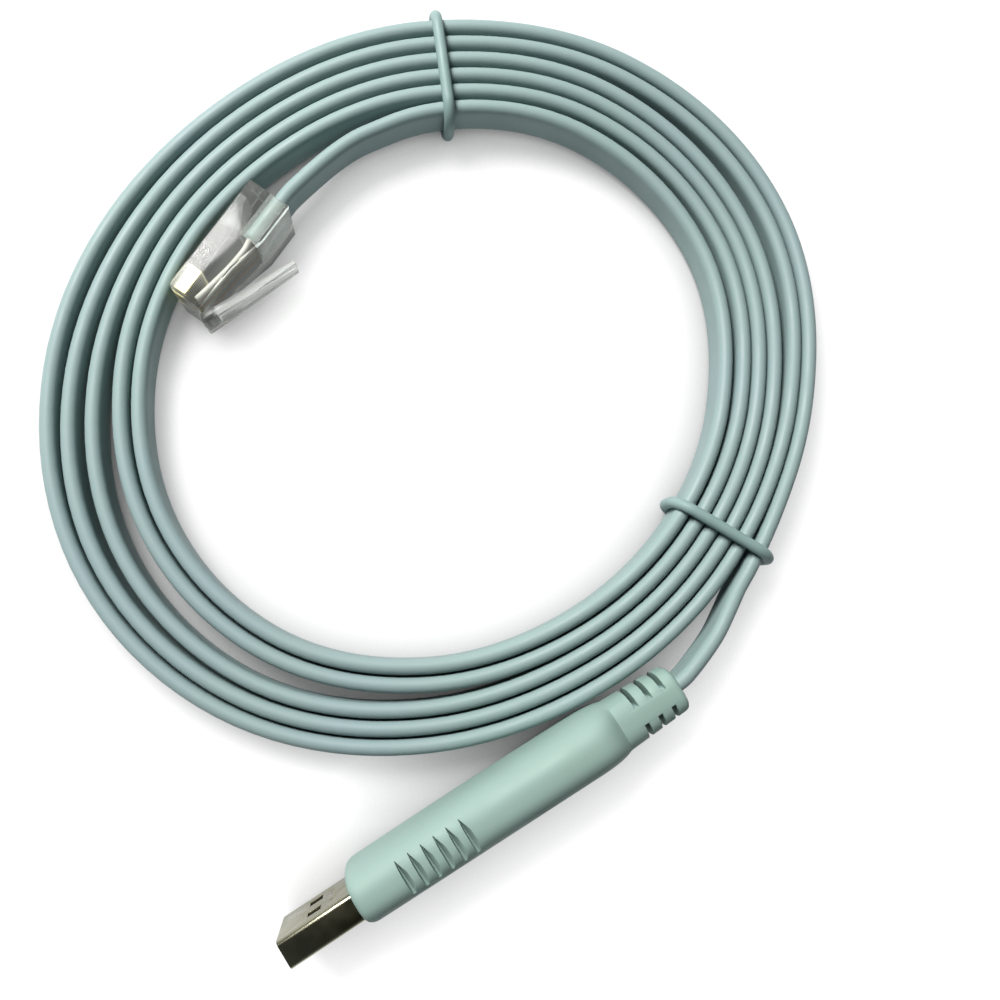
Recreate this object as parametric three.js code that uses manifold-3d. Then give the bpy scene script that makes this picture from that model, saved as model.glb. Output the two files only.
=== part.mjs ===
// A flat console cable, wound on edge into a coil that two wire ties hold.
// Its inner end has a clear eight-way modular plug, and its outer end a long moulded USB plug.
// Millimetres, +Z up. Everything is laid out around the middle of the coil, on a floor at z = 0,
// and the finished group is then moved so that its origin is under the middle of its box.
import * as THREE from 'three';
import * as BufferGeometryUtils from 'three/addons/utils/BufferGeometryUtils.js';
import Module from 'manifold-3d';

const wasm = await Module();
wasm.setup();

// Clearances
const seatGap = 0.3;        // between a piece and the piece it touches
const trimGap = 0.12;       // between a small contact and the plastic that holds it
const cutOver = 1;          // how far a cutting block runs past the face it opens

// The flat cable stands on its narrow edge
const cable = { width: 7.0, thickness: 2.5, edgeFlat: 1.2, edgeDepth: 1.1 };

// Winding: degrees wound clockwise from startAngle, seen from above
const coil = {
  startAngle: 145,          // direction, anticlockwise from +X, where the winding count starts
  from: 45,                 // the coil's solid starts here
  to: 1977,                 // and ends here, a whole number of steps on
  zeroTurn: 55,             // the innermost radii below hold here
  slack: 0.36,              // room between one turn and the next
  weld: 0.2,                // how far the turns of the solid run into each other
  step: 12,                 // degrees from one section to the next
  sweep: 180,               // degrees swept in one go; the pieces overlap by a step and are joined
};
const turnPitch = cable.thickness + coil.slack;

// Radius of the middle of the innermost turn, every 30 degrees anticlockwise from +X
const innerTurn = [48.53, 52.95, 51.85, 46.95, 43.4, 42.55, 43.0, 44.2, 44.15, 42.75, 42.38, 44.43];

// Loose and pinched places: from "first" degrees wound, the cable is pushed out there, or in
// where a tie pulls the turns together, and so is all outside it
const looseTurns = [
  { first: 475, spread: 60, push: 0.5 },
  { first: 885, spread: 60, push: -0.15 },
  { first: 1002, spread: 80, push: 2.2 },
  { first: 1245, spread: 60, push: -0.15 },
  { first: 1390, spread: 60, push: 0.8 },
  { first: 1553, spread: 50, push: 1.2 },
  { first: 1605, spread: 60, push: -0.15 },
  { first: 1780, spread: 45, push: 0.5 },
  { first: 1965, spread: 60, push: -0.15 },
  { first: 1990, spread: 32, push: 1.5 },
];
const startEase = { until: 65, over: 20, drop: 1.0 };   // the inner end leaves the turn inwards

// Coated wire ties, each a closed loop round all the turns
const tie = { wire: 2.0, sides: 8, cornerSteps: 4 };
const topTie = { angle: 88, lean: 10 };
const lowerTie = { angle: -25, lean: -5 };
const tieLift = { spread: 60 };                         // degrees over which the coil climbs onto a tie

// Clear modular plug, in its own frame: x from its nose to the cable, y towards its contacts
const modular = {
  at: [-37.25, 12.1], heading: 56,
  length: 21.46, width: 11.7, rearDepth: 7.35, noseDepth: 5.9,
  noseBevel: 0.8, stepFrom: 8, stepTo: 14.5,
  jacketY: -1.2, jacketIn: 7.6,
};
const latch = { width: 6.2, root: 1.9, thickness: 1.2, reach: 15.3, angle: 20.5, nose: 1.1 };
const blade = { count: 8, pitch: 1.02, thickness: 0.36, length: 4.3, depth: 1.9, inset: 0.9, recess: 0.45 };

// Moulded USB plug, in its own frame: x from the front of its housing to the cable
const usb = { at: [-9.85, -77.93], heading: 31.6 };
const housing = {
  length: 46.6, thickness: 10.0, height: 16.0, corner: 3.6,
  noseRound: 1.2, noseShrink: 0.9, shoulder: 7.5,
  reliefLength: 11.6, reliefThickness: 8.6, reliefHeight: 9.6,
  reliefEndThickness: 7.8, reliefEndHeight: 8.8, reliefCorner: 3.4, endRound: 0.9,
};
const grip = { count: 6, first: 7.8, pitch: 2.16, length: 5.3, width: 1.5, depth: 0.55 };
const slot = { count: 3, first: 50.0, pitch: 2.55, width: 0.75, spine: 2.8 };
const shell = {
  width: 12.0, height: 4.5, wall: 0.3, exposed: 12.1, buried: 6.0,
  holeLength: 2.3, holeWidth: 2.3, holeFromTip: 5.6, holeOffset: 2.55,
};
const tongue = { thickness: 1.7, setBack: 0.5, length: 15.5 };
const pad = { count: 4, width: 1.1, thickness: 0.25, length: 7.2, setBack: 0.9, spread: [-3.5, -1.0, 1.0, 3.5] };

const colours = {
  cable: 0xa3bdb9, tie: 0x94b3b0, clear: 0xcfd3cb, gold: 0xcdb968, steel: 0x8f8f86, tongue: 0xe9e9e4,
};

const rad = THREE.MathUtils.degToRad;

function materialOf(colour, roughness, metalness) {
  return new THREE.MeshStandardMaterial({ color: colour, roughness, metalness });
}
const cableMaterial = materialOf(colours.cable, 0.5, 0);
const tieMaterial = materialOf(colours.tie, 0.45, 0);
const clearMaterial = materialOf(colours.clear, 0.15, 0);
const goldMaterial = materialOf(colours.gold, 0.25, 1);
const steelMaterial = materialOf(colours.steel, 0.3, 1);
const tongueMaterial = materialOf(colours.tongue, 0.5, 0);

// Solids and booleans

function toSolid(geometry) {
  const bare = geometry.index ? geometry.toNonIndexed() : geometry.clone();
  bare.deleteAttribute('normal');
  bare.deleteAttribute('uv');
  const merged = BufferGeometryUtils.mergeVertices(bare, 1e-5);
  return new wasm.Manifold(new wasm.Mesh({
    numProp: 3,
    vertProperties: Float32Array.from(merged.attributes.position.array),
    triVerts: Uint32Array.from(merged.index.array),
  }));
}

function toGeometry(solid) {
  const mesh = solid.getMesh();
  const geometry = new THREE.BufferGeometry();
  geometry.setAttribute('position', new THREE.BufferAttribute(Float32Array.from(mesh.vertProperties), 3));
  geometry.setIndex(new THREE.BufferAttribute(Uint32Array.from(mesh.triVerts), 1));
  const flat = geometry.toNonIndexed();
  flat.computeVertexNormals();
  return flat;
}

function cut(solid, tools) {
  let result = solid;
  for (const tool of tools) result = result.subtract(toSolid(tool));
  return result;
}

function part(name, geometry, material) {
  const mesh = new THREE.Mesh(geometry, material);
  mesh.name = name;
  return mesh;
}

// A block given by its lowest and highest corners
function block(low, high) {
  const size = high.map((value, axis) => value - low[axis]);
  const box = new THREE.BoxGeometry(...size);
  return box.translate(...low.map((value, axis) => value + size[axis] / 2));
}

// A skin through a row of sections with equal numbers of points, capped at both ends, or closed on itself
function loft(sections, closed = false) {
  const points = sections.flat();
  const around = sections[0].length;
  const rings = sections.length;
  const faces = [];
  for (let ring = 0; ring < (closed ? rings : rings - 1); ring += 1) {
    const here = ring * around;
    const next = ((ring + 1) % rings) * around;
    for (let side = 0; side < around; side += 1) {
      const other = (side + 1) % around;
      faces.push(here + side, here + other, next + other, here + side, next + other, next + side);
    }
  }
  if (!closed) {
    const last = (rings - 1) * around;
    for (let side = 1; side < around - 1; side += 1) {
      faces.push(0, side + 1, side, last, last + side, last + side + 1);
    }
  }
  const geometry = new THREE.BufferGeometry();
  geometry.setAttribute('position', new THREE.Float32BufferAttribute(points.flatMap((p) => p.toArray()), 3));
  geometry.setIndex(faces);
  return geometry;
}

// Eight corners of a flat cable's section, as [across, up] offsets from its middle
function cableSection(thickness) {
  const side = thickness / 2;
  const top = cable.width / 2;
  const shoulder = top - cable.edgeDepth;
  const edge = cable.edgeFlat / 2;
  return [
    [side, -shoulder], [side, shoulder], [edge, top], [-edge, top],
    [-side, shoulder], [-side, -shoulder], [-edge, -top], [edge, -top],
  ];
}

// The coil's spiral

const hump = (offset) => (Math.abs(offset) < 1 ? (1 + Math.cos(Math.PI * offset)) / 2 : 0);
const turned = (degrees) => THREE.MathUtils.euclideanModulo(degrees + 180, 360) - 180;
const angleAt = (wound) => coil.startAngle - wound;

function innerRadius(angle) {
  const spacing = 360 / innerTurn.length;
  const place = THREE.MathUtils.euclideanModulo(angle, 360) / spacing;
  const before = Math.floor(place);
  const t = place - before;
  const radius = (offset) => innerTurn[(before + offset + innerTurn.length) % innerTurn.length];
  const [a, b, c, d] = [radius(-1), radius(0), radius(1), radius(2)];
  return b + 0.5 * t * (c - a + t * (2 * a - 5 * b + 4 * c - d + t * (3 * (b - c) + d - a)));
}

function radiusAt(wound) {
  let radius = innerRadius(angleAt(wound)) + turnPitch * (wound - coil.zeroTurn) / 360;
  for (const loose of looseTurns) {
    if (wound > loose.first - loose.spread) {
      radius += loose.push * hump(turned(wound - loose.first) / loose.spread);
    }
  }
  if (wound < startEase.until) radius -= startEase.drop * ((startEase.until - wound) / startEase.over) ** 2;
  return radius;
}

// The coil lies on the floor and climbs onto the ties that pass under it
function liftAt(angle) {
  const near = [topTie, lowerTie].map((one) => hump(turned(angle - one.angle) / tieLift.spread));
  return (tie.wire + seatGap) * Math.min(1, near[0] + near[1]);
}

const heightAt = (angle) => cable.width / 2 + liftAt(angle);

function polar(angle, radius, height) {
  return new THREE.Vector3(radius * Math.cos(rad(angle)), radius * Math.sin(rad(angle)), height);
}

const spiralPoint = (wound) => polar(angleAt(wound), radiusAt(wound), heightAt(angleAt(wound)));

function coilPiece(from, to) {
  const sections = [];
  for (let wound = from; wound <= to + 1e-6; wound += coil.step) {
    const angle = angleAt(wound);
    sections.push(cableSection(turnPitch + coil.weld).map(
      ([across, up]) => polar(angle, radiusAt(wound) + across, heightAt(angle) + up),
    ));
  }
  return toSolid(loft(sections));
}

function coilGeometry() {
  const pieces = [];
  for (let from = coil.from; from < coil.to; from += coil.sweep) {
    const overlapFrom = Math.max(from - coil.step, coil.from);
    pieces.push(coilPiece(overlapFrom, Math.min(from + coil.sweep, coil.to)));
  }
  return toGeometry(pieces.reduce((whole, piece) => whole.add(piece)));
}

// The free ends of the cable, through points chosen by hand, with a little gap at the coil

function plugPoint(plug, along, across, height) {
  const [x, y] = plug.at;
  const turn = rad(plug.heading);
  return new THREE.Vector3(
    x + along * Math.cos(turn) - across * Math.sin(turn),
    y + along * Math.sin(turn) + across * Math.cos(turn),
    height,
  );
}

function leadGeometry(points, steps) {
  const curve = new THREE.CatmullRomCurve3(points, false, 'centripetal');
  const up = new THREE.Vector3(0, 0, 1);
  const sections = [];
  for (let step = 0; step <= steps; step += 1) {
    const middle = curve.getPointAt(step / steps);
    const along = curve.getTangentAt(step / steps);
    const across = new THREE.Vector3().crossVectors(along, up).normalize();
    sections.push(cableSection(cable.thickness).map(
      ([side, rise]) => middle.clone().addScaledVector(across, side).addScaledVector(up, rise),
    ));
  }
  return loft(sections.reverse());
}

const gapAngle = (radius) => THREE.MathUtils.radToDeg(seatGap / radius);
const modularMiddle = modular.width / 2;
const housingMiddle = housing.height / 2;
const housingEnd = housing.length + housing.reliefLength;

// A point beyond an end of the coil, by so many seat gaps
function coilEndPoint(wound, gaps) {
  const radius = radiusAt(wound);
  return polar(angleAt(wound) + gaps * gapAngle(radius), radius, heightAt(angleAt(wound)));
}

const modularLeadPoints = [
  plugPoint(modular, modular.length - modular.jacketIn, modular.jacketY, modularMiddle),
  plugPoint(modular, modular.length - modular.jacketIn / 2, modular.jacketY, modularMiddle),
  plugPoint(modular, modular.length, modular.jacketY, modularMiddle),
  plugPoint(modular, modular.length + 2.5, modular.jacketY, modularMiddle),
  polar(118.8, 40.1, 5.8),
  polar(112.2, 41.7, 5.7),
  polar(106.3, 43.2, 5.6),
  coilEndPoint(coil.from, 2),
];

const usbLeadPoints = [
  coilEndPoint(coil.to, -1),
  polar(-36, 60.3, 6.3),
  polar(-40, 60.9, 6.8),
  polar(-44.5, 61.2, 7.5),
  plugPoint(usb, housingEnd + 2.0, 0.75, housingMiddle - 0.05),
  plugPoint(usb, housingEnd + 1.1, 0.6, housingMiddle),
  plugPoint(usb, housingEnd + seatGap, 0.55, housingMiddle),
];

// A tie: a wire swept round a tall loop that stands across all the turns

function crossingRadius(angle, outermost) {
  const firstPass = THREE.MathUtils.euclideanModulo(coil.startAngle - angle - coil.from, 360) + coil.from;
  const turns = outermost ? Math.floor((coil.to - firstPass) / 360) : 0;
  return radiusAt(firstPass + 360 * turns);
}

function tieGeometry({ angle, lean }) {
  const half = (turnPitch + coil.weld) / 2 + seatGap + tie.wire / 2;
  const inner = crossingRadius(angle, false) - half;
  const outer = crossingRadius(angle, true) + half;
  const low = tie.wire / 2 * Math.cos(Math.PI / tie.sides);
  const high = liftAt(angle) + cable.width + seatGap + tie.wire / 2;
  const bend = tie.wire;
  const middle = polar(angle, (inner + outer) / 2, (low + high) / 2);
  const outwards = polar(angle + lean, 1, 0);
  const up = new THREE.Vector3(0, 0, 1);
  const sideways = new THREE.Vector3().crossVectors(outwards, up);
  const reach = (outer - inner) / 2 - bend;
  const rise = (high - low) / 2 - bend;
  const rings = [];
  for (const [signX, signZ, start] of [[1, 1, 0], [-1, 1, 90], [-1, -1, 180], [1, -1, 270]]) {
    for (let step = 0; step <= tie.cornerSteps; step += 1) {
      const turn = rad(start + 90 * step / tie.cornerSteps);
      const away = outwards.clone().multiplyScalar(Math.cos(turn)).addScaledVector(up, Math.sin(turn));
      const centre = middle.clone().addScaledVector(outwards, signX * reach)
        .addScaledVector(up, signZ * rise).addScaledVector(away, bend);
      rings.push(wireSection(centre, away, sideways));
    }
  }
  return loft(rings.reverse(), true);
}

function wireSection(centre, away, sideways) {
  const ring = [];
  for (let side = 0; side < tie.sides; side += 1) {
    const turn = rad((side + 0.5) * 360 / tie.sides);
    const radius = tie.wire / 2;
    ring.push(centre.clone().addScaledVector(away, radius * Math.cos(turn))
      .addScaledVector(sideways, radius * Math.sin(turn)));
  }
  return ring;
}

// Modular plug: a side outline pushed through the plug's width, with the latch, slots and cable pocket

function extrudeUp(outline, low, high) {
  const shape = new THREE.Shape(outline.map(([x, y]) => new THREE.Vector2(x, y)));
  const geometry = new THREE.ExtrudeGeometry(shape, { depth: high - low, bevelEnabled: false, steps: 1 });
  return geometry.translate(0, 0, low);
}

const contactFace = modular.rearDepth / 2;
const bladeHeight = (index) => modularMiddle + (index - (blade.count - 1) / 2) * blade.pitch;

function modularOutline() {
  const noseBack = contactFace - modular.noseDepth;
  return [
    [0, noseBack], [modular.stepFrom, noseBack], [modular.stepTo, -contactFace],
    [modular.length, -contactFace], [modular.length, contactFace],
    [modular.noseBevel, contactFace], [0, contactFace - modular.noseBevel],
  ];
}

function latchOutline() {
  const noseBack = contactFace - modular.noseDepth;
  const away = rad(latch.angle);
  const drop = latch.reach * Math.tan(away);
  const skew = latch.thickness / Math.cos(away);
  return [
    [latch.root, noseBack + cutOver], [0, noseBack + cutOver], [-latch.nose, noseBack - latch.thickness / 2],
    [-latch.nose, noseBack - skew], [latch.reach, noseBack - skew - drop],
    [latch.reach + latch.thickness * Math.sin(away), noseBack - drop],
    [latch.root, noseBack - latch.root * Math.tan(away)],
  ].reverse();
}

function modularGeometry() {
  const body = toSolid(extrudeUp(modularOutline(), 0, modular.width));
  const arm = toSolid(extrudeUp(latchOutline(), modularMiddle - latch.width / 2, modularMiddle + latch.width / 2));
  const halfTall = cable.width / 2 + seatGap;
  const halfThick = cable.thickness / 2 + seatGap;
  const pocket = block(
    [modular.length - modular.jacketIn - seatGap, modular.jacketY - halfThick, modularMiddle - halfTall],
    [modular.length + cutOver, modular.jacketY + halfThick, modularMiddle + halfTall],
  );
  const slots = [];
  for (let index = 0; index < blade.count; index += 1) {
    const half = blade.thickness / 2 + trimGap;
    slots.push(block(
      [blade.inset - trimGap, contactFace - blade.recess - blade.depth - trimGap, bladeHeight(index) - half],
      [blade.inset + blade.length + trimGap, contactFace + cutOver, bladeHeight(index) + half],
    ));
  }
  return toGeometry(cut(body.add(arm), [pocket, ...slots]));
}

function bladeGeometry(index) {
  const outer = contactFace - blade.recess;
  return block(
    [blade.inset, outer - blade.depth, bladeHeight(index) - blade.thickness / 2],
    [blade.inset + blade.length, outer, bladeHeight(index) + blade.thickness / 2],
  );
}

// Moulded housing: round-cornered sections along its axis, then the grip grooves, slots and shell pocket

function roundedSection(x, thickness, height, corner) {
  const ring = [];
  const arcSteps = 4;
  const radius = Math.min(corner, thickness / 2 - 0.1, height / 2 - 0.1);
  for (const [signY, signZ, start] of [[1, 1, 0], [-1, 1, 90], [-1, -1, 180], [1, -1, 270]]) {
    for (let step = 0; step <= arcSteps; step += 1) {
      const turn = rad(start + 90 * step / arcSteps);
      ring.push(new THREE.Vector3(
        x,
        signY * (thickness / 2 - radius) + radius * Math.cos(turn),
        housingMiddle + signZ * (height / 2 - radius) + radius * Math.sin(turn),
      ));
    }
  }
  return ring;
}

function housingSections() {
  const { thickness, height, corner, noseShrink, shoulder, length } = housing;
  const sections = [
    roundedSection(0, thickness - 2 * noseShrink, height - 2 * noseShrink, corner - noseShrink),
    roundedSection(housing.noseRound * 0.3, thickness - noseShrink * 0.9, height - noseShrink * 0.9, corner),
    roundedSection(housing.noseRound, thickness, height, corner),
    roundedSection(length - shoulder, thickness, height, corner),
  ];
  for (const part of [0.3, 0.55, 0.75, 0.9, 1]) {
    const shrink = 1 - Math.sqrt(1 - part * part);
    sections.push(roundedSection(
      length - shoulder * (1 - part),
      THREE.MathUtils.lerp(thickness, housing.reliefThickness, shrink),
      THREE.MathUtils.lerp(height, housing.reliefHeight, shrink),
      housing.reliefCorner,
    ));
  }
  const end = length + housing.reliefLength;
  sections.push(roundedSection(
    end - housing.endRound, housing.reliefEndThickness, housing.reliefEndHeight, housing.reliefCorner,
  ));
  sections.push(roundedSection(
    end, housing.reliefEndThickness - housing.endRound, housing.reliefEndHeight - housing.endRound,
    housing.reliefCorner,
  ));
  return sections;
}

// Wedge-shaped grooves across both narrow faces of the housing
function gripCutters() {
  const cutters = [];
  for (let index = 0; index < grip.count; index += 1) {
    const x = grip.first + index * grip.pitch;
    for (const face of [-1, 1]) {
      const outside = housingMiddle + face * (housing.height / 2 + cutOver);
      const bottom = housingMiddle + face * (housing.height / 2 - grip.depth);
      const wedge = [[x, outside], [x + grip.width, outside], [x + grip.width / 4, bottom], [x, bottom]];
      const shape = new THREE.Shape(wedge.map(([across, up]) => new THREE.Vector2(across, up)));
      const geometry = new THREE.ExtrudeGeometry(shape, { depth: grip.length, bevelEnabled: false, steps: 1 });
      cutters.push(geometry.rotateX(Math.PI / 2).translate(0, grip.length / 2, 0));
    }
  }
  return cutters;
}

// Slots down the relief's two wide sides, which leave a spine along its top, middle and bottom
function slotCutters() {
  const cutters = [];
  const outside = housing.reliefThickness / 2 + cutOver;
  const rim = housing.reliefHeight / 2 + cutOver;
  for (let index = 0; index < slot.count; index += 1) {
    const x = slot.first + index * slot.pitch;
    for (const side of [-1, 1]) {
      const ys = [side * slot.spine / 2, side * outside];
      cutters.push(block(
        [x, Math.min(...ys), housingMiddle - rim],
        [x + slot.width, Math.max(...ys), housingMiddle + rim],
      ));
    }
  }
  return cutters;
}

function housingGeometry() {
  const body = toSolid(loft(housingSections()));
  const pocket = block(
    [-cutOver, -shell.height / 2 - seatGap, housingMiddle - shell.width / 2 - seatGap],
    [shell.buried + seatGap, shell.height / 2 + seatGap, housingMiddle + shell.width / 2 + seatGap],
  );
  return toGeometry(cut(body, [pocket, ...gripCutters(), ...slotCutters()]));
}

function shellGeometry() {
  const half = shell.height / 2;
  const side = shell.width / 2;
  const outer = block([-shell.exposed, -half, housingMiddle - side], [shell.buried, half, housingMiddle + side]);
  const bore = block(
    [-shell.exposed - cutOver, -half + shell.wall, housingMiddle - side + shell.wall],
    [shell.buried + cutOver, half - shell.wall, housingMiddle + side - shell.wall],
  );
  const holeStart = shell.holeFromTip - shell.exposed;
  const holes = [-1, 1].map((face) => block(
    [holeStart, -half - cutOver, housingMiddle + face * shell.holeOffset - shell.holeWidth / 2],
    [holeStart + shell.holeLength, half + cutOver, housingMiddle + face * shell.holeOffset + shell.holeWidth / 2],
  ));
  return toGeometry(cut(toSolid(outer), [bore, ...holes]));
}

// The tongue lies along one wide wall of the shell, and its contacts face the open half
const tongueWall = -shell.height / 2 + shell.wall + trimGap;
const tongueFace = tongueWall + tongue.thickness;
const tongueTip = tongue.setBack - shell.exposed;

function tongueGeometry() {
  const side = shell.width / 2 - shell.wall - trimGap;
  return block(
    [tongueTip, tongueWall, housingMiddle - side],
    [tongueTip + tongue.length, tongueFace, housingMiddle + side],
  );
}

function padGeometry(offset) {
  const start = tongueTip + pad.setBack;
  const low = tongueFace + trimGap;
  return block(
    [start, low, housingMiddle + offset - pad.width / 2],
    [start + pad.length, low + pad.thickness, housingMiddle + offset + pad.width / 2],
  );
}

// Assembly

function plugGroup(plug) {
  const group = new THREE.Group();
  group.position.set(plug.at[0], plug.at[1], 0);
  group.rotation.z = rad(plug.heading);
  return group;
}

const modularPlug = plugGroup(modular);
modularPlug.add(part('rj45_body', modularGeometry(), clearMaterial));
for (let index = 0; index < blade.count; index += 1) {
  modularPlug.add(part(`rj45_contact_${index + 1}`, bladeGeometry(index), goldMaterial));
}

const usbPlug = plugGroup(usb);
usbPlug.add(part('usb_housing', housingGeometry(), cableMaterial));
usbPlug.add(part('usb_shell', shellGeometry(), steelMaterial));
usbPlug.add(part('usb_tongue', tongueGeometry(), tongueMaterial));
pad.spread.forEach((offset, index) => {
  usbPlug.add(part(`usb_contact_${index + 1}`, padGeometry(offset), goldMaterial));
});

const layout = new THREE.Group();
layout.add(part('cable_coil', coilGeometry(), cableMaterial));
layout.add(part('rj45_lead', leadGeometry(modularLeadPoints, 14), cableMaterial));
layout.add(part('usb_lead', leadGeometry(usbLeadPoints, 10), cableMaterial));
layout.add(part('top_tie', tieGeometry(topTie), tieMaterial));
layout.add(part('lower_tie', tieGeometry(lowerTie), tieMaterial));
layout.add(modularPlug, usbPlug);

const cableAssembly = new THREE.Group();
cableAssembly.add(layout);
const middle = new THREE.Box3().setFromObject(layout).getCenter(new THREE.Vector3());
layout.position.set(-middle.x, -middle.y, 0);

export default cableAssembly;
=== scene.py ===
import math

import bmesh
import bpy
from mathutils import Matrix, Vector


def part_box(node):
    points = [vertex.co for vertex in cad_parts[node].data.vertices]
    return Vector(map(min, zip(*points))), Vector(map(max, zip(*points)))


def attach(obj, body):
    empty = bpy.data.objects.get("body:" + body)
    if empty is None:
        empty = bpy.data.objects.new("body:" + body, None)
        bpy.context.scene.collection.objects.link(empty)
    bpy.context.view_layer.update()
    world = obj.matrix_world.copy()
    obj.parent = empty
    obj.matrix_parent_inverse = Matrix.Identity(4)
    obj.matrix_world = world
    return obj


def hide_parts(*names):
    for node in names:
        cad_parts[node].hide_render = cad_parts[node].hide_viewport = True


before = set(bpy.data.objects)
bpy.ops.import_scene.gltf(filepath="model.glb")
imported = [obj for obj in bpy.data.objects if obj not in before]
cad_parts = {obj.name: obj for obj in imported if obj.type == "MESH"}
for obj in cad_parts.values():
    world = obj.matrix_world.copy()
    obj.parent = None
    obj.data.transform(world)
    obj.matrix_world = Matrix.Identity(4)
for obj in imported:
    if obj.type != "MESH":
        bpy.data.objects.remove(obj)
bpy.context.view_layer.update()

# A flat console cable wound on edge, a clear modular plug inside its coil and a moulded USB plug outside it.
# Sizes are in millimetres in the dictionaries and turned to metres where the meshes are made.
mm = 0.001
print("frame loaded")

# Camera, over the coil, a little left and in front of its middle, looking almost straight down
cameraSetup = {
    "place": (-8.941, -23.239, 158.0),
    "tilt": (6.009, -6.687, 0.0),      # degrees about X, Y and Z
    "lens": 34.2,                      # on a 36 mm square sensor
    "nearest": 0.01,
}


def makeCamera():
    data = bpy.data.cameras.new("overheadCamera")
    data.lens = cameraSetup["lens"]
    data.sensor_width = 36.0
    data.clip_start = cameraSetup["nearest"]
    camera = bpy.data.objects.new("overheadCamera", data)
    camera.location = Vector(cameraSetup["place"]) * mm
    camera.rotation_euler = [math.radians(angle) for angle in cameraSetup["tilt"]]
    bpy.context.collection.objects.link(camera)
    bpy.context.scene.camera = camera


makeCamera()

# Shared shader node groups


def newGroup(name, inputs, outputs):
    group = bpy.data.node_groups.new(name, "ShaderNodeTree")
    for label, kind, value in inputs:
        socket = group.interface.new_socket(label, in_out="INPUT", socket_type=kind)
        socket.default_value = value
    for label, kind in outputs:
        group.interface.new_socket(label, in_out="OUTPUT", socket_type=kind)
    return group, group.nodes.new("NodeGroupInput"), group.nodes.new("NodeGroupOutput")


def makeMottleGroup():
    # Two tints of one plastic, drifting slowly into each other over the surface
    group, source, result = newGroup(
        "plasticMottle",
        [("Tint A", "NodeSocketColor", (0.5, 0.5, 0.5, 1)),
         ("Tint B", "NodeSocketColor", (0.4, 0.4, 0.4, 1)),
         ("Patch Scale", "NodeSocketFloat", 60.0)],
        [("Color", "NodeSocketColor")])
    place = group.nodes.new("ShaderNodeTexCoord")
    cloud = group.nodes.new("ShaderNodeTexNoise")
    cloud.inputs["Detail"].default_value = 3.0
    spread = group.nodes.new("ShaderNodeMapRange")
    spread.inputs["From Min"].default_value = 0.3
    spread.inputs["From Max"].default_value = 0.7
    mix = group.nodes.new("ShaderNodeMix")
    mix.data_type = "RGBA"
    link = group.links.new
    link(place.outputs["Object"], cloud.inputs["Vector"])
    link(source.outputs["Patch Scale"], cloud.inputs["Scale"])
    link(cloud.outputs["Fac"], spread.inputs["Value"])
    link(spread.outputs["Result"], mix.inputs["Factor"])
    link(source.outputs["Tint A"], mix.inputs[6])
    link(source.outputs["Tint B"], mix.inputs[7])
    link(mix.outputs[2], result.inputs["Color"])
    return group


def makeGrainGroup():
    # Fine moulded grain: a height for Bump and a roughness that follows it
    group, source, result = newGroup(
        "mouldedGrain",
        [("Grain Scale", "NodeSocketFloat", 3000.0), ("Roughness Low", "NodeSocketFloat", 0.35),
         ("Roughness High", "NodeSocketFloat", 0.5)],
        [("Height", "NodeSocketFloat"), ("Roughness", "NodeSocketFloat")])
    place = group.nodes.new("ShaderNodeTexCoord")
    fine = group.nodes.new("ShaderNodeTexNoise")
    fine.inputs["Detail"].default_value = 4.0
    coarse = group.nodes.new("ShaderNodeTexNoise")
    coarse.inputs["Scale"].default_value = 180.0
    spread = group.nodes.new("ShaderNodeMapRange")
    spread.inputs["From Min"].default_value = 0.35
    spread.inputs["From Max"].default_value = 0.65
    link = group.links.new
    link(place.outputs["Object"], fine.inputs["Vector"])
    link(place.outputs["Object"], coarse.inputs["Vector"])
    link(source.outputs["Grain Scale"], fine.inputs["Scale"])
    link(coarse.outputs["Fac"], spread.inputs["Value"])
    link(source.outputs["Roughness Low"], spread.inputs["To Min"])
    link(source.outputs["Roughness High"], spread.inputs["To Max"])
    link(fine.outputs["Fac"], result.inputs["Height"])
    link(spread.outputs["Result"], result.inputs["Roughness"])
    return group


mottleGroup = makeMottleGroup()
grainGroup = makeGrainGroup()


def startMaterial(name):
    material = bpy.data.materials.new(name)
    material.use_nodes = True
    nodes = material.node_tree.nodes
    return material, nodes, material.node_tree.links.new, nodes["Principled BSDF"]


def addFinish(nodes, link, surface, finish):
    # Tints and grain, from the two shared groups
    mottle = nodes.new("ShaderNodeGroup")
    mottle.node_tree = mottleGroup
    mottle.inputs["Tint A"].default_value = (*finish["tints"][0], 1)
    mottle.inputs["Tint B"].default_value = (*finish["tints"][1], 1)
    mottle.inputs["Patch Scale"].default_value = finish["patches"]
    grain = nodes.new("ShaderNodeGroup")
    grain.node_tree = grainGroup
    grain.inputs["Grain Scale"].default_value = finish["grainScale"]
    grain.inputs["Roughness Low"].default_value = finish["rough"][0]
    grain.inputs["Roughness High"].default_value = finish["rough"][1]
    bump = nodes.new("ShaderNodeBump")
    bump.inputs["Strength"].default_value = finish["grain"]
    bump.inputs["Distance"].default_value = finish["grainDepth"]
    link(mottle.outputs["Color"], surface.inputs["Base Color"])
    link(grain.outputs["Roughness"], surface.inputs["Roughness"])
    link(grain.outputs["Height"], bump.inputs["Height"])
    link(bump.outputs["Normal"], surface.inputs["Normal"])


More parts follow.
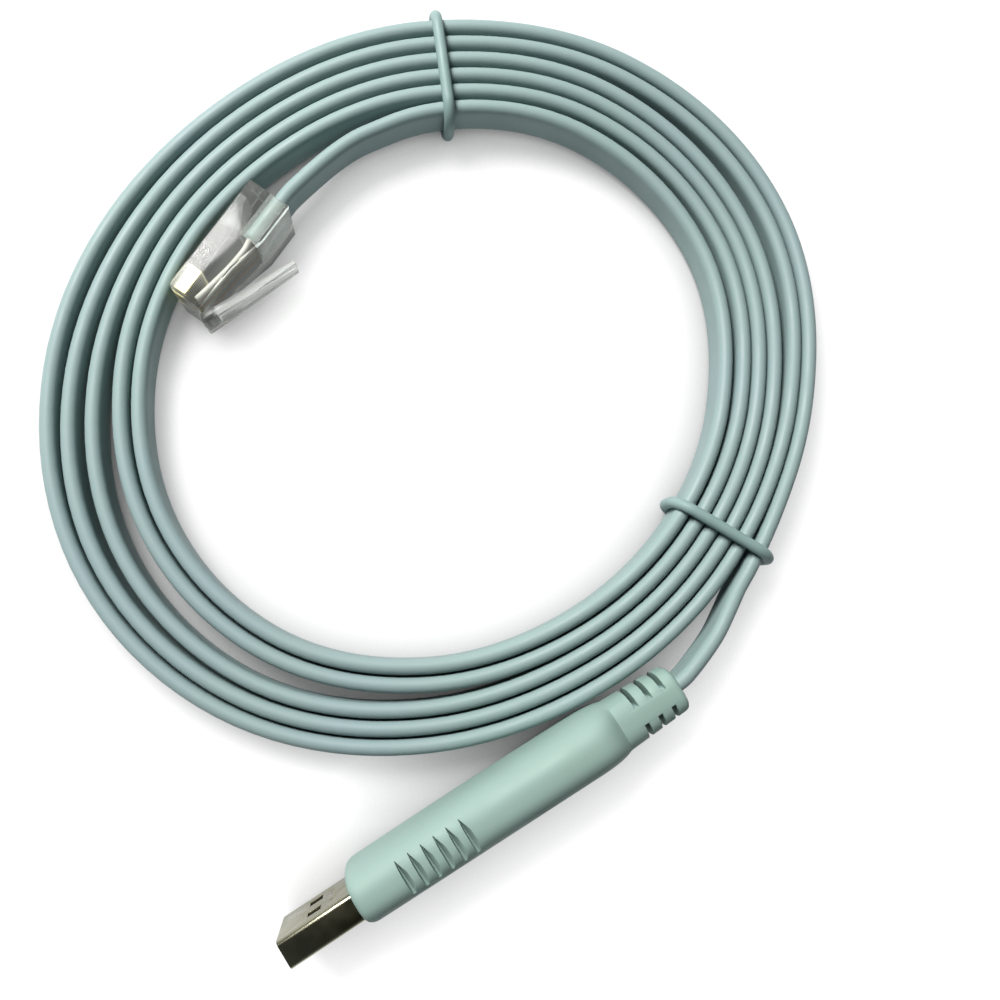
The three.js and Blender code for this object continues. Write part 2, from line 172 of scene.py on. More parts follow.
# Soft plastics share their gloss and the size of their grain, with its depth in metres
softPlastic = {"ior": 1.45, "specular": 0.4, "grain": {"grainScale": 2600.0, "grainDepth": 0.00004}}
jacketFinish = {"tints": [(0.262, 0.335, 0.352), (0.262, 0.35, 0.335)], "patches": 22.0,
                "rough": (0.46, 0.58), "grain": 0.15}
tieFinish = {"tints": [(0.25, 0.34, 0.335), (0.22, 0.31, 0.3)], "patches": 150.0, "rough": (0.45, 0.6),
             "grain": 0.15}
vinylFinish = {"tints": [(0.28, 0.38, 0.355), (0.265, 0.365, 0.33)], "patches": 40.0, "rough": (0.55, 0.68),
               "grain": 0.2}
insulatorFinish = {"tints": [(0.85, 0.85, 0.82), (0.8, 0.8, 0.77)], "patches": 200.0, "rough": (0.4, 0.5),
                   "grain": 0.1}
goldFinish = {"tints": [(0.52, 0.48, 0.25), (0.43, 0.38, 0.18)], "patches": 300.0, "rough": (0.4, 0.55),
              "grain": 0.1, "grainScale": 4000.0, "grainDepth": 0.00002}
steelFinish = {"tints": [(0.33, 0.325, 0.25), (0.28, 0.275, 0.2)], "patches": 120.0, "rough": (0.2, 0.34),
               "grain": 0.12, "grainScale": 1500.0, "grainDepth": 0.00003}
clearFinish = {"tints": [(0.91, 0.92, 0.9), (0.85, 0.87, 0.84)], "patches": 200.0, "rough": (0.1, 0.2),
               "grain": 0.08, "grainScale": 900.0, "grainDepth": 0.00003, "transmission": 0.92, "ior": 1.3,
               "specular": 0.3, "through": (0.9, 0.91, 0.9)}


def makeSoftPlastic(name, finish):
    material, nodes, link, surface = startMaterial(name)
    surface.inputs["IOR"].default_value = softPlastic["ior"]
    surface.inputs["Specular IOR Level"].default_value = softPlastic["specular"]
    addFinish(nodes, link, surface, finish | softPlastic["grain"])
    return material


def makeMetal(name, finish):
    material, nodes, link, surface = startMaterial(name)
    surface.inputs["Metallic"].default_value = 1.0
    addFinish(nodes, link, surface, finish)
    return material


def makeClearPlastic(name, finish):
    # Clear plastic, which shadow and diffuse rays pass straight through
    material, nodes, link, surface = startMaterial(name)
    surface.inputs["Transmission Weight"].default_value = finish["transmission"]
    surface.inputs["IOR"].default_value = finish["ior"]
    surface.inputs["Specular IOR Level"].default_value = finish["specular"]
    addFinish(nodes, link, surface, finish)
    through = nodes.new("ShaderNodeBsdfTransparent")
    through.inputs["Color"].default_value = (*finish["through"], 1)
    path = nodes.new("ShaderNodeLightPath")
    either = nodes.new("ShaderNodeMath")
    either.operation = "MAXIMUM"
    mix = nodes.new("ShaderNodeMixShader")
    link(path.outputs["Is Shadow Ray"], either.inputs[0])
    link(path.outputs["Is Diffuse Ray"], either.inputs[1])
    link(either.outputs["Value"], mix.inputs["Fac"])
    link(surface.outputs["BSDF"], mix.inputs[1])
    link(through.outputs["BSDF"], mix.inputs[2])
    link(mix.outputs["Shader"], nodes["Material Output"].inputs["Surface"])
    return material


cableJacket = makeSoftPlastic("cableJacket", jacketFinish)
tieCoating = makeSoftPlastic("tieCoating", tieFinish)
mouldedVinyl = makeSoftPlastic("mouldedVinyl", vinylFinish)
insulator = makeSoftPlastic("whiteInsulator", insulatorFinish)
goldPlate = makeMetal("goldPlate", goldFinish)
nickelSteel = makeMetal("nickelSteel", steelFinish)
clearPlastic = makeClearPlastic("clearPlastic", clearFinish)
print("materials ready")

# The cable's route: the coil's loop and the given points of both free ends

flatCable = {
    "width": 7.0, "thickness": 2.46, "arcSteps": 8, "flatSteps": 4,
    "longestStep": 3.2, "fineStep": 1.2,      # wider gaps between the points are cut to the finer step
}
coil = {
    "startAngle": 145, "from": 45, "to": 1977, "zeroTurn": 55, "pitch": 2.86, "step": 3,
    "innerTurn": [48.53, 52.95, 51.85, 46.95, 43.4, 42.55, 43.0, 44.2, 44.15, 42.75, 42.38, 44.43],
    "looseTurns": [(475, 60, 0.5), (885, 60, -0.15), (1002, 80, 2.2), (1245, 60, -0.15), (1390, 60, 0.8),
                   (1553, 50, 1.2), (1605, 60, -0.15), (1780, 45, 0.5), (1965, 60, -0.15), (1990, 32, 1.5)],
    "easeUntil": 65, "easeOver": 20, "easeDrop": 1.0,
}
# The turns rise over a tie by its wire and a gap, within its spread in degrees
ties = {
    "wire": 2.0, "gap": 0.3, "spread": 60, "angles": (88, -25), "leans": (10, -5),
    "visibleWire": 1.86, "bend": 3.4, "sideRoom": 0.03, "topRoom": 0.04,
}
modular = {
    "at": (-37.25, 12.1), "heading": 56, "length": 21.46, "width": 11.7,
    "rearDepth": 7.35, "noseDepth": 5.9, "jacketY": -1.2, "jacketIn": 7.6,
}
usb = {"at": (-9.85, -77.93), "heading": 31.6, "length": 46.6, "height": 16.0, "relief": 11.6}
blades = {
    "count": 8, "pitch": 1.02, "inset": 0.9, "length": 4.3, "depth": 1.9, "drop": 0.45,
    "slotRoom": 0.1, "slotWidth": 0.56,
}
modularMiddle = modular["width"] / 2
usbMiddle = usb["height"] / 2


def polar(angle, radius, height):
    turn = math.radians(angle)
    return Vector((radius * math.cos(turn), radius * math.sin(turn), height))


def plugPoint(plug, along, across, height):
    return Vector((*plug["at"], 0)) + Matrix.Rotation(math.radians(plug["heading"]), 3, "Z") @ Vector(
        (along, across, height))


def hump(offset):
    return (1 + math.cos(math.pi * offset)) / 2 if abs(offset) < 1 else 0.0


def turned(degrees):
    return (degrees + 180) % 360 - 180


def innerRadius(angle):
    count = len(coil["innerTurn"])
    place = (angle % 360) / (360 / count)
    before = math.floor(place)
    t = place - before
    a, b, c, d = [coil["innerTurn"][(before + offset) % count] for offset in (-1, 0, 1, 2)]
    return b + 0.5 * t * (c - a + t * (2 * a - 5 * b + 4 * c - d + t * (3 * (b - c) + d - a)))


def radiusAt(wound):
    radius = innerRadius(coil["startAngle"] - wound) + coil["pitch"] * (wound - coil["zeroTurn"]) / 360
    for first, spread, push in coil["looseTurns"]:
        if wound > first - spread:
            radius += push * hump(turned(wound - first) / spread)
    if wound < coil["easeUntil"]:
        radius -= coil["easeDrop"] * ((coil["easeUntil"] - wound) / coil["easeOver"]) ** 2
    return radius


def liftAt(angle):
    near = [hump(turned(angle - tieAngle) / ties["spread"]) for tieAngle in ties["angles"]]
    return (ties["wire"] + ties["gap"]) * min(1, sum(near))


def spiralPoint(wound):
    angle = coil["startAngle"] - wound
    return polar(angle, radiusAt(wound), flatCable["width"] / 2 + liftAt(angle))


def routePoints():
    length = modular["length"]
    points = [plugPoint(modular, along, modular["jacketY"], modularMiddle)
              for along in (length - modular["jacketIn"], length - modular["jacketIn"] / 2, length,
                            length + 2.5)]
    points += [polar(118.8, 40.1, 5.8), polar(112.2, 41.7, 5.7), polar(106.3, 43.2, 5.6)]
    steps = round((coil["to"] - coil["from"]) / coil["step"])
    points += [spiralPoint(coil["from"] + coil["step"] * step) for step in range(steps + 1)]
    points += [polar(-36, 60.3, 6.3), polar(-40, 60.9, 6.8), polar(-44.5, 61.2, 7.5)]
    end = usb["length"] + usb["relief"]
    points += [plugPoint(usb, end + 2.0, 0.75, usbMiddle - 0.05),
               plugPoint(usb, end + 1.1, 0.6, usbMiddle),
               plugPoint(usb, end + 0.3, 0.55, usbMiddle),
               plugPoint(usb, end - 9.0, 0.2, usbMiddle)]
    return points


# The route is laid out about the coil's middle, and one gold contact shows how far off the part's frame is
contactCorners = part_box("rj45_contact_1")
contactMiddle = (contactCorners[0] + contactCorners[1]) / 2 / mm
contactPlace = plugPoint(modular, blades["inset"] + blades["length"] / 2,
                         modular["rearDepth"] / 2 - blades["drop"] - blades["depth"] / 2, 0)
layoutShift = Vector((contactMiddle.x - contactPlace.x, contactMiddle.y - contactPlace.y, 0))


def smoothRoute(points, longest=flatCable["longestStep"]):
    # A centripetal curve through the points, cut finer where they lie far apart
    route = []
    for index in range(len(points) - 1):
        here, there = points[index], points[index + 1]
        gap = (there - here).length
        pieces = 1 if gap < longest else math.ceil(gap / flatCable["fineStep"])
        before = points[index - 1] if index else here * 2 - there
        after = points[index + 2] if index + 2 < len(points) else there * 2 - here
        t0, t1 = 0.0, math.sqrt((here - before).length)
        t2 = t1 + math.sqrt(gap)
        t3 = t2 + math.sqrt((after - there).length)
        for piece in range(pieces):
            t = t1 + (t2 - t1) * piece / pieces
            a1 = before.lerp(here, (t - t0) / (t1 - t0))
            a2 = here.lerp(there, (t - t1) / (t2 - t1))
            a3 = there.lerp(after, (t - t2) / (t3 - t2))
            b1 = a1.lerp(a2, (t - t0) / (t2 - t0))
            b2 = a2.lerp(a3, (t - t1) / (t3 - t1))
            route.append(b1.lerp(b2, (t - t1) / (t2 - t1)))
    route.append(points[-1])
    return route


def cableSection():
    # Round edges at the top and bottom, joined by two flat walls, as (across, up) anticlockwise
    radius = flatCable["thickness"] / 2
    reach = flatCable["width"] / 2 - radius
    section = []
    for sign, start in ((1, 0), (-1, 180)):
        for step in range(flatCable["arcSteps"] + 1):
            turn = math.radians(start + 180 * step / flatCable["arcSteps"])
            section.append((radius * math.cos(turn), sign * reach + radius * math.sin(turn)))
        for step in range(1, flatCable["flatSteps"]):
            section.append((-sign * radius, sign * reach * (1 - 2 * step / flatCable["flatSteps"])))
    return section


def sweepTube(route, section, closed=False, upright=Vector((0, 0, 1))):
    # Rings of one section along a route, kept upright, with flat caps at open ends
    bm = bmesh.new()
    rings = []
    for index, middle in enumerate(route):
        before = route[index - 1] if index or closed else middle
        after = route[(index + 1) % len(route)] if closed or index + 1 < len(route) else middle
        along = (after - before).normalized()
        across = along.cross(upright).normalized()
        up = across.cross(along)
        rings.append([bm.verts.new((middle + across * side + up * rise) * mm) for side, rise in section])
    count = len(section)
    for index in range(len(rings) if closed else len(rings) - 1):
        ring, following = rings[index], rings[(index + 1) % len(rings)]
        for side in range(count):
            other = (side + 1) % count
            bm.faces.new((ring[side], ring[other], following[other], following[side]))
    if not closed:
        bm.faces.new(rings[0])
        bm.faces.new(reversed(rings[-1]))
    bmesh.ops.recalc_face_normals(bm, faces=bm.faces)
    return bm


def finishPiece(name, bm, material, place=None, sharpAngle=None):
    if place is not None:
        bmesh.ops.transform(bm, matrix=place, verts=bm.verts)
    mesh = bpy.data.meshes.new(name)
    bm.to_mesh(mesh)
    bm.free()
    mesh.polygons.foreach_set("use_smooth", [True] * len(mesh.polygons))
    if sharpAngle is not None:
        mesh.set_sharp_from_angle(angle=math.radians(sharpAngle))
    mesh.materials.append(material)
    piece = bpy.data.objects.new(name, mesh)
    bpy.context.collection.objects.link(piece)
    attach(piece, "root")
    return piece


def makeCable():
    route = [point + layoutShift for point in smoothRoute(routePoints())]
    bm = sweepTube(route, cableSection())
    cable = finishPiece("flat_cable", bm, cableJacket)
    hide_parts("cable_coil", "rj45_lead", "usb_lead")
    length = sum((b - a).length for a, b in zip(route, route[1:])) * mm
    return cable, [point * mm for point in route], length


flatCableObj, cableRoute, cableLength = makeCable()
print("cable made,", round(cableLength, 3), "m long")

# Wire ties: a coated wire round all the turns


def crossings(angle):
    first = (coil["startAngle"] - angle - coil["from"]) % 360 + coil["from"]
    last = first + 360 * math.floor((coil["to"] - first) / 360)
    return radiusAt(first), radiusAt(last)


def wireSection(radius, sides=16):
    return [(radius * math.cos(math.tau * side / sides), radius * math.sin(math.tau * side / sides))
            for side in range(sides)]


def tieRoute(angle, lean, cornerSteps=8):
    # A loop with round corners through the wire's middle, turned by its lean about the middle of the turns
    wire, bend = ties["visibleWire"], ties["bend"]
    inner, outer = crossings(angle)
    half = flatCable["thickness"] / 2 + ties["sideRoom"] + wire / 2
    inner, outer = inner - half, outer + half
    low = wire / 2
    high = liftAt(angle) + flatCable["width"] + ties["topRoom"] + wire / 2
    middle = polar(angle, (inner + outer) / 2, (low + high) / 2)
    outwards = polar(angle + lean, 1, 0)
    up = Vector((0, 0, 1))
    reach, rise = (outer - inner) / 2 - bend, (high - low) / 2 - bend
    route = []
    for signX, signZ, start in ((1, 1, 0), (-1, 1, 90), (-1, -1, 180), (1, -1, 270)):
        for step in range(cornerSteps + 1):
            turn = math.radians(start + 90 * step / cornerSteps)
            away = outwards * math.cos(turn) + up * math.sin(turn)
            route.append(middle + outwards * signX * reach + up * signZ * rise + away * bend)
    return [point + layoutShift for point in route], outwards.cross(up)


def makeTie(name, node, angle, lean):
    route, sideways = tieRoute(angle, lean)
    bm = sweepTube(route, wireSection(ties["visibleWire"] / 2), closed=True, upright=sideways)
    tie = finishPiece(name, bm, tieCoating)
    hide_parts(node)


for node, angle, lean in zip(("top_tie", "lower_tie"), ties["angles"], ties["leans"]):
    makeTie(f"{node}_wire", node, angle, lean)
print("ties made")

# Tools for the moulded pieces


def plugMatrix(plug):
    place = Matrix.Translation((Vector((*plug["at"], 0)) + layoutShift) * mm)
    return place @ Matrix.Rotation(math.radians(plug["heading"]), 4, "Z")


modularPlace = plugMatrix(modular)
usbPlace = plugMatrix(usb)


def roundedRing(bm, x, thickness, height, radius, middle, arcSteps=5):
    # A rectangle with round corners, square to the plug's length
    ring = []
    for signY, signZ, start in ((1, 1, 0), (-1, 1, 90), (-1, -1, 180), (1, -1, 270)):
        for step in range(arcSteps + 1):
            turn = math.radians(start + 90 * step / arcSteps)
            ring.append(bm.verts.new(Vector((
                x,
                signY * (thickness / 2 - radius) + radius * math.cos(turn),
                middle + signZ * (height / 2 - radius) + radius * math.sin(turn))) * mm))
    return [bm.edges.new((ring[index - 1], ring[index])) for index in range(len(ring))]


def bridgeRings(bm, rings):
    for ring, following in zip(rings, rings[1:]):
        bmesh.ops.bridge_loops(bm, edges=ring + following)


def closeRing(bm, ring):
    bmesh.ops.holes_fill(bm, edges=ring, sides=0)


def prism(outline, low, high):
    # An outline in x and y pushed up from low to high
    bm = bmesh.new()
    face = bm.faces.new([bm.verts.new(Vector((x, y, low)) * mm) for x, y in outline])
    top = bmesh.ops.extrude_face_region(bm, geom=[face])["geom"]
    rise = [vert for vert in top if isinstance(vert, bmesh.types.BMVert)]
    bmesh.ops.translate(bm, vec=(0, 0, (high - low) * mm), verts=rise)
    bmesh.ops.recalc_face_normals(bm, faces=bm.faces)
    return bm


def blockMesh(low, high):
    bm = bmesh.new()
    bmesh.ops.create_cube(bm, size=1.0)
    size = [(b - a) * mm for a, b in zip(low, high)]
    centre = [(a + b) / 2 * mm for a, b in zip(low, high)]
    bmesh.ops.scale(bm, vec=size, verts=bm.verts)
    bmesh.ops.translate(bm, vec=centre, verts=bm.verts)
    return bm


def softenEdges(bm, width):
    bmesh.ops.bevel(bm, geom=list(bm.edges), offset=width * mm, segments=2, profile=0.5, affect="EDGES",
                    material=-1, clamp_overlap=True)


def joinMeshes(parts):
    # Several closed bmeshes in one
    whole = bmesh.new()
    for part in parts:
        mesh = bpy.data.meshes.new("joining")
        part.to_mesh(mesh)
        part.free()
        whole.from_mesh(mesh)
        bpy.data.meshes.remove(mesh)
    return whole


cutPast = 1.0          # how far a cutter reaches past the face it cuts
sharperThan = 38       # edges sharper than this many degrees are rounded after a cut


def cutMesh(bm, cutters, edgeRound=0.0, operation="DIFFERENCE"):
    # Cuts, or joins, with a boolean and gives back one bmesh, with its sharp edges rounded if asked
    objects = []
    for label, part in (("body", bm), ("cutters", joinMeshes(cutters))):
        mesh = bpy.data.meshes.new(label)
        part.to_mesh(mesh)
        part.free()
        obj = bpy.data.objects.new(label, mesh)
        bpy.context.collection.objects.link(obj)
        objects.append(obj)
    body, tools = objects
    boolean = body.modifiers.new("cut", "BOOLEAN")
    boolean.object = tools
    boolean.operation = operation
    boolean.solver = "EXACT"
    boolean.use_self = True
    if edgeRound:
        bevel = body.modifiers.new("round", "BEVEL")
        bevel.width = edgeRound * mm
        bevel.segments = 2
        bevel.limit_method = "ANGLE"
        bevel.angle_limit = math.radians(sharperThan)
        bevel.use_clamp_overlap = True
    bpy.context.view_layer.update()
    graph = bpy.context.evaluated_depsgraph_get()
    result = bmesh.new()
    result.from_object(body, graph)
    for obj in objects:
        mesh = obj.data
        bpy.data.objects.remove(obj)
        bpy.data.meshes.remove(mesh)
    return result


# USB plug: moulded housing with grip grooves, shoulder and slotted relief, whose mouth fits round the shell

housing = {
    "noseRound": 1.6, "noseShrink": 1.2, "noseRings": 6, "bodyRings": 12, "bodyPower": 2.7,
    "frontLow": 4.0, "rearLow": 4.7, "rearHigh": 4.9, "bulge": 0.1, "bulgeAt": 16.0, "bulgeReach": 20.0,
    "shoulder": 6.0, "shoulderRings": 10, "shoulderFall": 3, "mouthRoom": 0.3, "edgeRound": 0.12,
    "reliefPower": 2.8, "reliefThickness": 8.6, "reliefHeight": 9.6,
    "reliefEndThickness": 7.8, "reliefEndHeight": 8.8, "endRound": 0.9, "endRings": 4,
    "gripCount": 6, "gripFirst": 7.8, "gripPitch": 2.16, "gripLength": 6.0, "gripWidth": 1.35,
    "gripDepth": 0.36, "gripOutside": 0.4, "gripLean": 0.05, "gripFloor": 0.5, "gripTail": 0.3,
    "gripPointAt": 0.1, "gripPointDepth": 0.05,
    "slotCount": 3, "slotFirst": 50.0, "slotPitch": 2.55, "slotWidth": 0.85, "spine": 2.8,
}
shell = {
    "width": 12.0, "height": 4.5, "wall": 0.3, "bend": 0.7, "exposed": 12.1, "buried": 6.0,
    "middleRing": -3.0,
    "holeStart": -7.2, "holeSize": (2.2, 2.0), "holeOffset": 2.45, "edgeRound": 0.04,
    "dimpleAt": -3.1, "dimpleOffset": 2.2, "dimpleRadius": 0.8, "dimpleDepth": 0.16,
}


def roundRing(bm, x, low, high, height, power, count=56):
    # A soft rounded section from low to high in y, with its height about the plug's middle
    ring = []
    for index in range(count):
        turn = math.tau * (index + 0.5) / count
        side, rise = math.cos(turn), math.sin(turn)
        y = (low + high) / 2 + math.copysign(abs(side) ** (2 / power), side) * (high - low) / 2
        z = usbMiddle + math.copysign(abs(rise) ** (2 / power), rise) * height / 2
        ring.append(bm.verts.new(Vector((x, y, z)) * mm))
    return [bm.edges.new((ring[index - 1], ring[index])) for index in range(count)]


def housingSides(x):
    # The grip is thinner at its front, and fullest a third of the way back on the coil's side
    h = housing
    low = -(h["frontLow"] + (h["rearLow"] - h["frontLow"]) * x / usb["length"])
    high = h["rearHigh"] + h["bulge"] * hump((x - h["bulgeAt"]) / h["bulgeReach"])
    return low, high


def housingBody():
    h = housing
    length, height = usb["length"], usb["height"]
    bm = bmesh.new()
    rings = []
    for step in range(h["noseRings"] + 1):
        turn = math.pi / 2 * step / h["noseRings"]
        inset = h["noseShrink"] * (1 - math.sin(turn))
        low, high = housingSides(0)
        rings.append(roundRing(bm, h["noseRound"] * (1 - math.cos(turn)), low + inset, high - inset,
                               height - 2 * inset, h["bodyPower"]))
    shoulderStart = length - h["shoulder"]
    for step in range(1, h["bodyRings"] + 1):
        x = h["noseRound"] + (shoulderStart - h["noseRound"]) * step / h["bodyRings"]
        rings.append(roundRing(bm, x, *housingSides(x), height, h["bodyPower"]))
    low, high = housingSides(shoulderStart)
    neck = h["reliefThickness"] / 2
    for step in range(1, h["shoulderRings"] + 1):
        along = step / h["shoulderRings"]
        shrink = along ** h["shoulderFall"]
        rings.append(roundRing(
            bm, shoulderStart + h["shoulder"] * along, low + (-neck - low) * shrink,
            high + (neck - high) * shrink, height + (h["reliefHeight"] - height) * shrink,
            h["bodyPower"] + (h["reliefPower"] - h["bodyPower"]) * shrink))
    end = length + usb["relief"]
    endHalf = h["reliefEndThickness"] / 2
    for step in range(h["endRings"] + 1):
        turn = math.pi / 2 * step / h["endRings"]
        inset = h["endRound"] * (1 - math.cos(turn))
        rings.append(roundRing(bm, end - h["endRound"] * (1 - math.sin(turn)), -endHalf + inset,
                               endHalf - inset, h["reliefEndHeight"] - 2 * inset, h["reliefPower"]))
    bridgeRings(bm, rings)
    closeRing(bm, rings[0])
    closeRing(bm, rings[-1])
    bmesh.ops.recalc_face_normals(bm, faces=bm.faces)
    return bm


def narrowSideAt(y):
    # How far the grip's narrow side stands from the plug's middle, at this place across it
    share = min(1, abs(y) / housing["rearHigh"])
    return usb["height"] / 2 * (1 - share ** housing["bodyPower"]) ** (1 / housing["bodyPower"])


def gripCutter(x, face):
    # A groove with a steep front wall, pointed on the coil's side and widest towards the other
    h = housing
    near, far = -h["gripLength"] / 2, h["gripLength"] / 2
    outside = usb["height"] / 2 + h["gripOutside"]
    nearFloor, middleFloor = narrowSideAt(near) - h["gripDepth"], narrowSideAt(0) - h["gripDepth"]
    corners = [(x, near, outside), (x + h["gripWidth"], near, outside),
               (x + h["gripLean"], near, nearFloor), (x + h["gripFloor"], near, nearFloor),
               (x, 0, middleFloor), (x + h["gripFloor"], 0, middleFloor), (x + h["gripWidth"], 0, outside),
               (x, far, outside), (x + h["gripTail"], far, outside),
               (x + h["gripPointAt"], far, narrowSideAt(far) - h["gripPointDepth"])]
    bm = bmesh.new()
    for along, across, away in corners:
        bm.verts.new(Vector((along, across, usbMiddle + face * away)) * mm)
    bmesh.ops.convex_hull(bm, input=bm.verts)
    bmesh.ops.recalc_face_normals(bm, faces=bm.faces)
    return bm


def slotCutters(x):
    # A slot into each wide side of the relief, which leaves its spine
    h = housing
    rim, outside = h["reliefHeight"] / 2 + cutPast, h["reliefThickness"] / 2 + cutPast
    cutters = []
    for side in (-1, 1):
        near, far = sorted((side * h["spine"] / 2, side * outside))
        cutters.append(blockMesh((x, near, usbMiddle - rim), (x + h["slotWidth"], far, usbMiddle + rim)))
    return cutters


def makeHousing():
    h = housing
    cutters = []
    for index in range(h["gripCount"]):
        cutters += [gripCutter(h["gripFirst"] + index * h["gripPitch"], face) for face in (-1, 1)]
    for index in range(h["slotCount"]):
        cutters += slotCutters(h["slotFirst"] + index * h["slotPitch"])
    mouthThick, mouthTall = shell["height"] / 2 + h["mouthRoom"], shell["width"] / 2 + h["mouthRoom"]
    cutters.append(blockMesh((-cutPast, -mouthThick, usbMiddle - mouthTall),
                             (shell["buried"] + h["mouthRoom"], mouthThick, usbMiddle + mouthTall)))
    bm = cutMesh(housingBody(), cutters, edgeRound=h["edgeRound"])
    piece = finishPiece("usb_grip", bm, mouldedVinyl, usbPlace, sharpAngle=40)
    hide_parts("usb_housing")
    return piece


usbGrip = makeHousing()
print("housing made")


def makeShell():
    # Folded steel shell, open at both ends, with its two holes and two dimples on each wide side
    s = shell
    bm = bmesh.new()
    rows = (-s["exposed"], s["middleRing"], s["buried"])
    outer = [roundedRing(bm, x, s["height"], s["width"], s["bend"], usbMiddle) for x in rows]
    inner = [roundedRing(bm, x, s["height"] - 2 * s["wall"], s["width"] - 2 * s["wall"],
                         s["bend"] - s["wall"], usbMiddle) for x in rows]
    bridgeRings(bm, outer)
    bridgeRings(bm, inner)
    bmesh.ops.bridge_loops(bm, edges=outer[0] + inner[0])
    bmesh.ops.bridge_loops(bm, edges=outer[-1] + inner[-1])
    bmesh.ops.recalc_face_normals(bm, faces=bm.faces)
    holes = []
    for offset in (-s["holeOffset"], s["holeOffset"]):
        middle = usbMiddle + offset
        long, wide = s["holeSize"]
        holes.append(blockMesh((s["holeStart"], -s["height"], middle - wide / 2),
                               (s["holeStart"] + long, s["height"], middle + wide / 2)))
    for side in (-1, 1):
        for offset in (-s["dimpleOffset"], s["dimpleOffset"]):
            ball = bmesh.new()
            bmesh.ops.create_icosphere(ball, subdivisions=3, radius=s["dimpleRadius"] * mm)
            away = s["height"] / 2 + s["dimpleRadius"] - s["dimpleDepth"]
            bmesh.ops.translate(ball, vec=Vector((s["dimpleAt"], side * away, usbMiddle + offset)) * mm,
                                verts=ball.verts)
            holes.append(ball)
    bm = cutMesh(bm, holes, edgeRound=s["edgeRound"])
    piece = finishPiece("usb_shell_sheet", bm, nickelSteel, usbPlace, sharpAngle=35)
    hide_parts("usb_shell")
    return piece


usbShell = makeShell()
print("shell made")

# Clear modular plug

plugBody = {
    "noseBevel": 0.8, "stepFrom": 8.0, "stepTo": 14.5, "edge": 0.25,
    "jacketRoom": 0.3, "jacketSideRoom": 0.25,
}
latch = {
    "width": 6.2, "tipShare": 0.5, "thickness": 1.2, "reach": 15.3, "angle": 20.5, "root": 1.9,
    "nose": 1.1, "noseLip": 0.6, "buried": 0.8, "buriedFrom": 0.3, "edge": 0.18,
}
crimp = {
    "front": 13.6, "back": 18.9, "tall": 8.2, "floor": 0.75, "foot": 1.0,
    "barLean": 1.2, "barFoot": 2.2, "barRim": 2.0,
}


def plugOutline():
    half = modular["rearDepth"] / 2
    noseBack = half - modular["noseDepth"]
    b = plugBody
    return [(0, noseBack), (b["stepFrom"], noseBack), (b["stepTo"], -half), (modular["length"], -half),
            (modular["length"], half), (b["noseBevel"], half), (0, half - b["noseBevel"])]


def latchOutline():
    noseBack = modular["rearDepth"] / 2 - modular["noseDepth"]
    away = math.radians(latch["angle"])
    drop = latch["reach"] * math.tan(away)
    skew = latch["thickness"] / math.cos(away)
    return [(latch["root"], noseBack + latch["buried"]), (latch["buriedFrom"], noseBack + latch["buried"]),
            (-latch["nose"], noseBack - latch["noseLip"]), (-latch["nose"], noseBack - skew),
            (latch["reach"], noseBack - skew - drop),
            (latch["reach"] + latch["thickness"] * math.sin(away), noseBack - drop),
            (latch["root"], noseBack - latch["root"] * math.tan(away))]


def narrowLatch(arm):
    # The latch tab is about half as wide at its tip
    middle = modularMiddle * mm
    for vert in arm.verts:
        share = min(1, max(0, vert.co.x / (latch["reach"] * mm)))
        vert.co.z = middle + (vert.co.z - middle) * (1 + (latch["tipShare"] - 1) * share)


def crimpWindow():
    # The opening over the jacket, which leaves the pressed bar slanting down to it from the rear
    c = crimp
    rim = modular["rearDepth"] / 2 + cutPast
    outline = [(c["front"], c["floor"]), (c["front"] + c["foot"], c["floor"]),
               (c["back"] - c["barLean"], rim - c["barFoot"]), (c["back"], rim - c["barRim"]),
               (c["back"], rim), (c["front"], rim)]
    return prism(outline, modularMiddle - c["tall"] / 2, modularMiddle + c["tall"] / 2)


def jacketPocket():
    tall = flatCable["width"] / 2 + plugBody["jacketRoom"]
    thick = flatCable["thickness"] / 2 + plugBody["jacketSideRoom"]
    start = modular["length"] - modular["jacketIn"] - plugBody["jacketRoom"]
    return blockMesh((start, modular["jacketY"] - thick, modularMiddle - tall),
                     (modular["length"] + cutPast, modular["jacketY"] + thick, modularMiddle + tall))


def bladeSlots():
    half = modular["rearDepth"] / 2
    room, slotWidth = blades["slotRoom"], blades["slotWidth"]
    slots = []
    for index in range(blades["count"]):
        z = modularMiddle + (index - (blades["count"] - 1) / 2) * blades["pitch"]
        slots.append(blockMesh(
            (blades["inset"] - room, half - blades["drop"] - blades["depth"] - room, z - slotWidth / 2),
            (blades["inset"] + blades["length"] + room, half + cutPast, z + slotWidth / 2)))
    return slots


def makePlugBody():
    body = prism(plugOutline(), 0, modular["width"])
    softenEdges(body, plugBody["edge"])
    arm = prism(latchOutline(), modularMiddle - latch["width"] / 2, modularMiddle + latch["width"] / 2)
    narrowLatch(arm)
    softenEdges(arm, latch["edge"])
    whole = cutMesh(body, [arm], operation="UNION")
    whole = cutMesh(whole, [jacketPocket(), crimpWindow()] + bladeSlots())
    piece = finishPiece("rj45_clear_body", whole, clearPlastic, modularPlace, sharpAngle=30)
    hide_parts("rj45_body")


makePlugBody()

